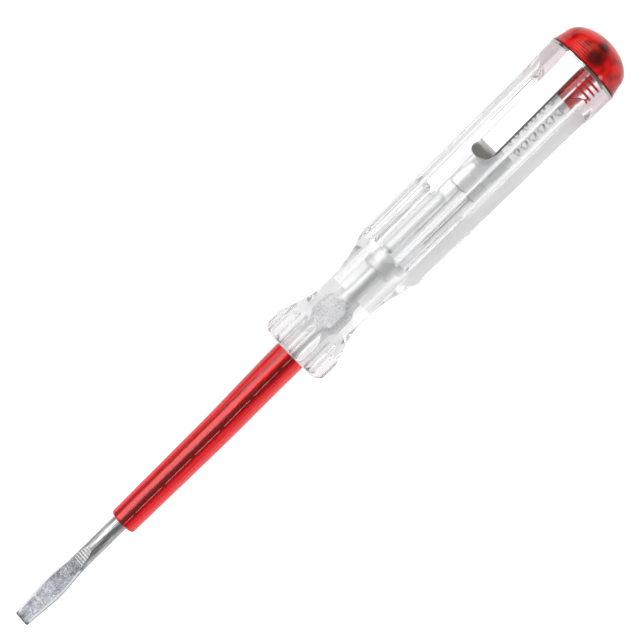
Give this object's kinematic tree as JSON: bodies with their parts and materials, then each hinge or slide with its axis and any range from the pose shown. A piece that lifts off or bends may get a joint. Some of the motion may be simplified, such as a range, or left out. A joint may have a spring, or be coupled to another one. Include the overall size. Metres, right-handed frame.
{
  "type": "voltage tester pen",
  "caption": "Screwdriver-tip voltage tester with a clear grip that shows its glow lamp and contact spring, a pocket clip and a translucent red screw cap.",
  "frame": {"origin": "on the pen's axis, in the end face of the screwdriver blade", "axes": "+X along the pen from the blade to the screw cap, +Z out through the pocket clip and square to the blade's flats, +Y across the blade's width"},
  "size_m": [0.14, 0.0142, 0.0162],
  "materials": {
    "ground_steel": "forged and ground bar steel, nickel washed",
    "red_plastic": "glossy translucent red",
    "clear_plastic": "clear moulded cellulose plastic, polished",
    "bright_metal": "tinned",
    "lamp_glass": "clear glass",
    "nickel": "satin nickel",
    "resistor_film": "grey-blue lacquer",
    "spring_steel": "drawn wire",
    "plated_steel": "bright nickel plate",
    "red_cap_plastic": "translucent red, polished"
  },
  "bodies": {
    "handle_body": {"blade_shaft": "ground_steel", "insulating_sleeve": "red_plastic", "handle": "clear_plastic", "lamp_front_cap": "bright_metal", "lamp_glass": "lamp_glass", "lamp_front_lead": "bright_metal", "lamp_front_electrode": "nickel", "lamp_rear_electrode": "nickel", "lamp_rear_lead": "bright_metal", "lamp_rear_cap": "bright_metal", "resistor_front_cap": "bright_metal", "resistor_rod": "resistor_film", "resistor_rear_cap": "bright_metal", "contact_spring": "spring_steel", "clip_ring": "plated_steel"},
    "clip_arm_body": {"clip_arm": "plated_steel"},
    "spring_cup_body": {"spring_cup": "nickel"},
    "screw_cap_body": {"screw_cap": "red_cap_plastic"}
  },
  "joints": [
    {"name": "clip_flex", "type": "hinge", "parent": "handle_body", "child": "clip_arm_body", "pos_m": [0.13332, 0, 0.00739], "axis": [0, 1, 0], "range_deg": [0, 6], "stiffness_Nm_per_rad": 0.8},
    {"name": "cap_travel", "type": "slide", "parent": "handle_body", "child": "spring_cup_body", "axis": [1, 0, 0], "range_m": [0, 0.0025], "deforming": ["contact_spring"]},
    {"name": "cap_turn", "type": "hinge", "parent": "spring_cup_body", "child": "screw_cap_body", "pos_m": [0.1331, 0, 0], "axis": [1, 0, 0], "range_deg": [0, 900]}
  ],
  "couplings": [
    {"joint": "cap_turn", "follows": "cap_travel", "rad_per_m": 6283.2}
  ]
}
